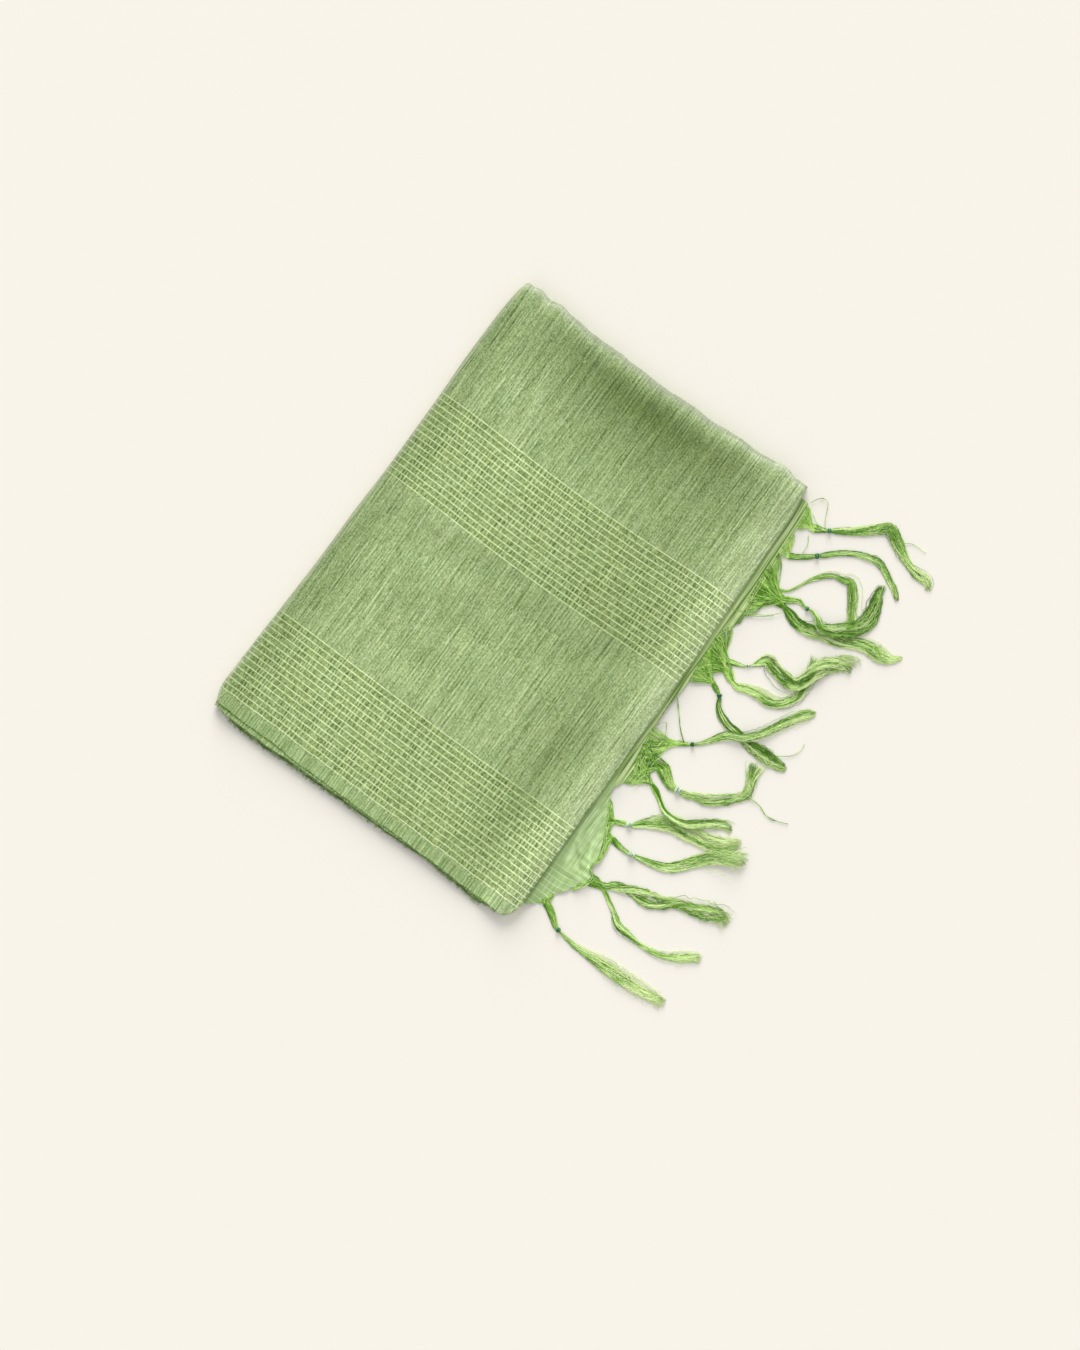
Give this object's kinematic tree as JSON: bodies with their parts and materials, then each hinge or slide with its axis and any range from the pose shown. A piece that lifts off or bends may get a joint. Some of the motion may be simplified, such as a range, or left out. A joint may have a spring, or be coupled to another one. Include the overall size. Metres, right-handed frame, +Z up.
{
  "type": "folded silk sari",
  "caption": "Silk sari folded flat into a thin rectangular bundle, its last stretch wrapped round the layers inside and its knotted fringe lying loose along one side.",
  "frame": {"origin": "middle of the flat underside of the folded bundle, fringe left out", "axes": "+Z up; +X across the bundle, along the cloth's length, towards the fringe; +Y along the bundle, across the cloth's width, from the selvedges to the lengthwise fold"},
  "size_m": [0.6036, 0.5999, 0.0127],
  "materials": {
    "silk": "slubby handloom silk, soft sheen, fine pale warp stripes",
    "gauze": "open, slightly sheer weave of the same silk",
    "yarn": "loose glossy silk yarn"
  },
  "bodies": {
    "root": {"outer_stretch": "silk", "hidden_layers": "silk", "end_piece": "gauze", "tassel_01": "yarn", "tassel_02": "yarn", "tassel_03": "yarn", "tassel_04": "yarn", "tassel_05": "yarn", "tassel_06": "yarn", "tassel_07": "yarn", "tassel_08": "yarn", "tassel_09": "yarn", "tassel_10": "yarn", "tassel_11": "yarn", "tassel_12": "yarn", "tassel_13": "yarn", "tassel_14": "yarn", "tassel_15": "yarn", "tassel_16": "yarn"}
  },
  "joints": []
}
